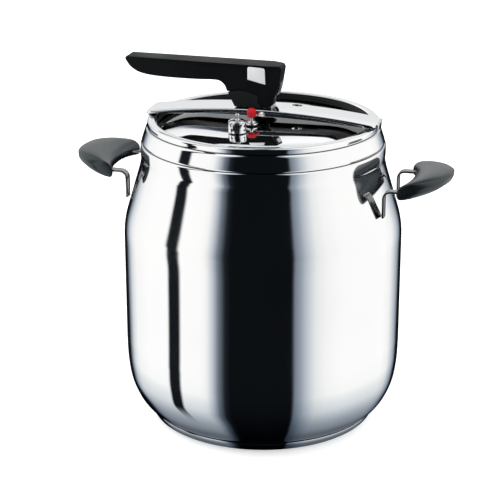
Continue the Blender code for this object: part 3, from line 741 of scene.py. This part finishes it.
view = {"azimuth": 15.4, "elevation": 18.88, "distance": 1.888, "aside": -0.013, "height": 0.1738, "lens": 135.2}
a, e = math.radians(view["azimuth"]), math.radians(view["elevation"])
back = Vector((math.sin(a) * math.cos(e), -math.cos(a) * math.cos(e), math.sin(e)))
right = Vector((math.cos(a), math.sin(a), 0))
camera = bpy.data.objects.new("camera", bpy.data.cameras.new("camera"))
bpy.context.scene.collection.objects.link(camera)
camera.location = right * view["aside"] + Vector((0, 0, view["height"])) + back * view["distance"]
camera.rotation_euler = back.to_track_quat("Z", "Y").to_euler()
camera.data.lens = view["lens"]
camera.data.sensor_width = 36.0
bpy.context.scene.camera = camera

world = bpy.data.worlds.new("surround")
bpy.context.scene.world = world
world.use_nodes = True
world.node_tree.nodes["Background"].inputs["Color"].default_value = (1, 1, 1, 1)
world.node_tree.nodes["Background"].inputs["Strength"].default_value = 1.0
world.cycles_visibility.glossy = False

floorMesh = bpy.data.meshes.new("floor")
floorMesh.from_pydata([(-6, -6, 0), (6, -6, 0), (6, 6, 0), (-6, 6, 0)], [], [(0, 1, 2, 3)])
floor = bpy.data.objects.new("floor", floorMesh)
bpy.context.scene.collection.objects.link(floor)
paleFloor, nodes, links, shader, coords = newMaterial("paleFloor")
speckle = noise(nodes, links, coords.outputs["Object"], 30, 3)
links.new(blendColours(nodes, links, speckle, (0.9, 0.9, 0.9), (0.93, 0.93, 0.93)), shader.inputs["Base Color"])
shader.inputs["Roughness"].default_value = 0.9
shader.inputs["Emission Color"].default_value = (1, 1, 1, 1)
shader.inputs["Emission Strength"].default_value = 0.55
floorMesh.materials.append(paleFloor)
floor.visible_glossy = False
floor.location.z = -0.0002

tent = {
    "radius": 4.0, "strength": 1.1, "potRadius": 0.118,
    # degrees from the camera's side, positive to the right, with the grey of the card there
    "round": [(-180, 0.004), (-157, 0.01), (-150, 0.3), (-141, 0.72), (-131, 0.93), (-110, 1.0), (-85, 1.0),
              (-83.2, 0.01), (-72.6, 0.01), (-70.8, 1.0), (-52, 0.98), (-47, 0.92), (-41.8, 0.6), (-36.7, 0.19),
              (-31.5, 0.018), (-27, 0.005), (23.4, 0.005), (25.2, 0.2), (30.3, 0.35), (34, 0.51), (38, 0.65),
              (43, 0.82), (52, 0.92), (66, 0.98), (118, 1.0), (131, 0.9), (141, 0.6), (150, 0.32), (157, 0.01),
              (180, 0.004)],
    "line": (-90, -70),
    # share of the way from straight down to straight up, with the colour behind the pot there
    "rear": [(0.0, (0.005, 0.005, 0.005)), (0.507, (0.005, 0.005, 0.005)), (0.520, (0.72, 0.73, 0.74)),
             (0.56, (0.78, 0.785, 0.78)), (0.612, (0.79, 0.795, 0.79)), (0.66, (0.98, 0.98, 0.97)),
             (0.70, (1.0, 1.0, 0.99)), (0.76, (0.5, 0.54, 0.58)), (0.85, (0.25, 0.28, 0.3)),
             (1.0, (0.2, 0.22, 0.24))],
    "roof": (0.1, 0.11, 0.12),
    # metres from the pot's axis, with the shade of the floor there
    "floor": [(0.118, (0.1, 0.115, 0.14)), (0.14, (0.26, 0.3, 0.35)), (0.19, (0.66, 0.7, 0.74)),
              (0.25, (0.95, 0.96, 0.96)), (0.33, (1.0, 1.0, 1.0))],
    "lineEnds": (0.185, 0.135),
}


def maths(operation, first, second=None):
    node = nodes.new("ShaderNodeMath")
    node.operation = operation
    for socket, value in zip(node.inputs, (first, second)):
        if isinstance(value, (int, float)):
            socket.default_value = value
        elif value is not None:
            links.new(value, socket)
    return node.outputs["Value"]


def ease(value, low, high):
    node = nodes.new("ShaderNodeMapRange")
    node.interpolation_type = "SMOOTHSTEP"
    node.inputs["From Min"].default_value = low
    node.inputs["From Max"].default_value = high
    links.new(value, node.inputs["Value"])
    return node.outputs["Result"]


def ramp(value, stops):
    node = nodes.new("ShaderNodeValToRGB")
    points = node.color_ramp.elements
    while len(points) < len(stops):
        points.new(0.5)
    for point, (place, colour) in zip(points, stops):
        point.position = place
        point.color = (*colour, 1)
    links.new(value, node.inputs["Fac"])
    return node.outputs["Color"]


def mixed(factor, first, second, how="MIX"):
    node = nodes.new("ShaderNodeMix")
    node.data_type = "RGBA"
    node.blend_type = how
    if isinstance(factor, float):
        node.inputs["Factor"].default_value = factor
    else:
        links.new(factor, node.inputs["Factor"])
    for socket, value in ((node.inputs["A"], first), (node.inputs["B"], second)):
        if isinstance(value, tuple):
            socket.default_value = (*value, 1)
        else:
            links.new(value, socket)
    return node.outputs["Result"]


def cardTint(grey):
    # half tones lean to blue, as cool studio cards do
    cool = max(0.0, 0.86 - grey)
    return (grey * (1 - 0.24 * cool), grey, min(1.0, grey * (0.975 + 0.34 * cool)))


def sideCards(turn, withLine=True):
    # the ramp holds at most 32 stops, and without its line the left card is plain
    low, high = tent["line"]
    stops = [stop for stop in tent["round"] if withLine or not low < stop[0] < high]
    return ramp(turn, [((place + 180) / 360, cardTint(grey)) for place, grey in stops])


def glowOnly(name, mesh):
    # a card that lights reflections and nothing else
    obj = bpy.data.objects.new(name, mesh)
    bpy.context.scene.collection.objects.link(obj)
    obj.rotation_euler = (0, 0, a - math.pi / 2)
    for seen in ("visible_camera", "visible_diffuse", "visible_transmission", "visible_shadow",
                 "visible_volume_scatter"):
        setattr(obj, seen, False)
    material = bpy.data.materials.new(name)
    material.use_nodes = True
    material.node_tree.nodes.clear()
    mesh.materials.append(material)
    return obj, material.node_tree.nodes, material.node_tree.links


def objectParts():
    coords = nodes.new("ShaderNodeTexCoord")
    parts = nodes.new("ShaderNodeSeparateXYZ")
    links.new(coords.outputs["Object"], parts.inputs["Vector"])
    return parts.outputs["X"], parts.outputs["Y"], parts.outputs["Z"]


def glow(colour):
    emission, output = nodes.new("ShaderNodeEmission"), nodes.new("ShaderNodeOutputMaterial")
    emission.inputs["Strength"].default_value = tent["strength"]
    links.new(colour, emission.inputs["Color"])
    links.new(emission.outputs["Emission"], output.inputs["Surface"])


ballMesh = bpy.data.meshes.new("lightTent")
bm = bmesh.new()
bmesh.ops.create_uvsphere(bm, u_segments=64, v_segments=32, radius=tent["radius"])
bm.to_mesh(ballMesh)
bm.free()
ball, nodes, links = glowOnly("light_tent", ballMesh)
ball.location.z = 0.17
x, y, z = objectParts()
turn = maths("ADD", maths("DIVIDE", maths("ARCTAN2", y, x), 2 * math.pi), 0.5)
height = maths("DEGREES", maths("ARCSINE", maths("DIVIDE", z, tent["radius"])))
sides = sideCards(turn)
rear = maths("ADD", ease(turn, 0.12, 0.06), ease(turn, 0.88, 0.94))
rearCards = ramp(maths("DIVIDE", maths("ADD", height, 90.0), 180.0), tent["rear"])
wall = mixed(rear, sides, rearCards)
roof = mixed(ease(height, 82.0, 88.0), wall, tent["roof"])
glow(roof)

discMesh = bpy.data.meshes.new("lightFloor")
bm = bmesh.new()
bmesh.ops.create_circle(bm, cap_ends=True, segments=64, radius=tent["radius"] * 0.98)
bm.to_mesh(discMesh)
bm.free()
disc, nodes, links = glowOnly("light_floor", discMesh)
disc.location.z = -0.003
x, y, z = objectParts()
away = maths("MAXIMUM", maths("SQRT", maths("ADD", maths("MULTIPLY", x, x), maths("MULTIPLY", y, y))),
             tent["potRadius"])
# follows the direction in which the pot wall sends each edge of the cards
spreadOut = maths("DIVIDE", away, maths("SUBTRACT", maths("MULTIPLY", away, 2.0), tent["potRadius"]))
angle = maths("ARCTAN2", y, x)
near = ease(away, tent["potRadius"] + 0.07, tent["potRadius"])
pull = maths("ADD", maths("MULTIPLY", maths("MULTIPLY", near, maths("LESS_THAN", angle, 0.0)), 0.18), 1.0)
turn = maths("ADD", maths("DIVIDE", maths("MULTIPLY", maths("MULTIPLY", angle, spreadOut), pull), math.pi), 0.5)
sides = mixed(ease(away, *tent["lineEnds"]), sideCards(turn), sideCards(turn, False))
glow(mixed(1.0, sides, ramp(away, tent["floor"]), "MULTIPLY"))

lampData = bpy.data.lights.new("softBox", "AREA")
lampData.shape = "RECTANGLE"
lampData.size, lampData.size_y = 1.6, 1.6
lampData.energy = 14.0
lamp = bpy.data.objects.new("soft_box", lampData)
bpy.context.scene.collection.objects.link(lamp)
lamp.location = (-0.9, -0.7, 1.9)
lamp.rotation_euler = (Vector(lamp.location) - Vector((0, 0, 0.2))).to_track_quat("Z", "Y").to_euler()
lamp.visible_glossy = False
print("stage ready")
